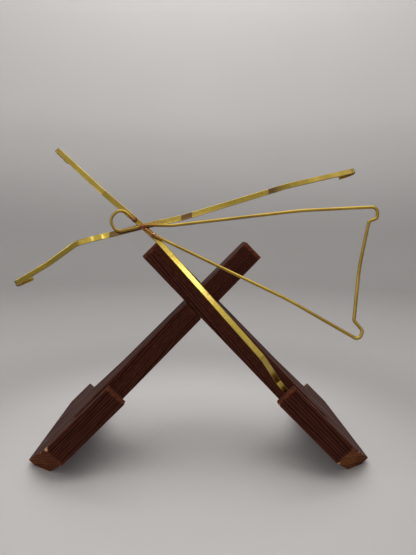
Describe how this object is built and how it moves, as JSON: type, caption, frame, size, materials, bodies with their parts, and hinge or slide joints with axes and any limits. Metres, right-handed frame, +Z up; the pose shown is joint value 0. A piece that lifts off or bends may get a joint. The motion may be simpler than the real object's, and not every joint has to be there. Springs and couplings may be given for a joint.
{
  "type": "plate display stand",
  "caption": "Display stand for a dinner plate: two crossed hardwood boards with slotted toes carry a brass strip-and-wire cradle with rim hooks.",
  "frame": {"origin": "on the floor, under the middle of the stand's outline", "axes": "+Z up, -Y is the front, where the slots and the cradle are, +X is to the right when seen from the front"},
  "size_m": [0.2422, 0.136, 0.2161],
  "materials": {
    "wood": "dark reddish-brown varnish, satin, worn along the edges, lighter end grain",
    "brass": "drawn and rolled, bright, with darkened patches",
    "braze": "burnt coppery braze, dull"
  },
  "bodies": {
    "left_half": {"left_board": "wood"},
    "right_half": {"right_board": "wood"},
    "cradle": {"long_strip": "brass", "cross_strip": "brass", "loop_wire": "brass", "leg_wire": "brass", "crossing_braze": "braze", "leg_end_braze": "braze", "loop_end_braze": "braze"}
  },
  "joints": [
    {"name": "halving_slide", "type": "slide", "parent": "left_half", "child": "right_half", "axis": [0, -1, 0], "range_m": [0, 0.03]},
    {"name": "cradle_lift", "type": "slide", "parent": "right_half", "child": "cradle", "axis": [0, 0.1201, 0.9928], "range_m": [0, 0.06]}
  ]
}
